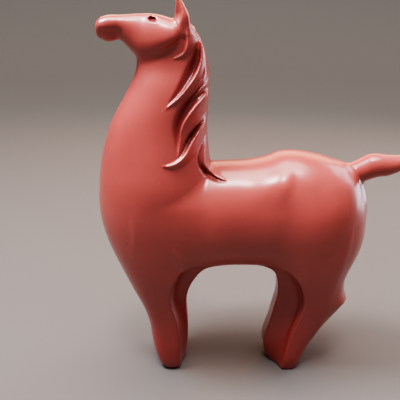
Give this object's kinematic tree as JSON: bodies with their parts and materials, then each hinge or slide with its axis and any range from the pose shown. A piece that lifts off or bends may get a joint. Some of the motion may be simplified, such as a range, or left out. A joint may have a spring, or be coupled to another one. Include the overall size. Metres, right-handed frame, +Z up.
{
  "type": "horse figurine",
  "caption": "Stylised standing horse ornament cast as one hollow piece in red clay, on joined pairs of legs, with a wavy carved mane and a short raised tail.",
  "frame": {"origin": "centre of the bounding box in X and Y, on the plane the feet stand on", "axes": "+Z up; the head points along -X and the tail along +X; the horse's left side is toward -Y"},
  "size_m": [0.2564, 0.0826, 0.3],
  "materials": {
    "red_clay": "satin"
  },
  "bodies": {
    "root": {"horse": "red_clay"}
  },
  "joints": []
}
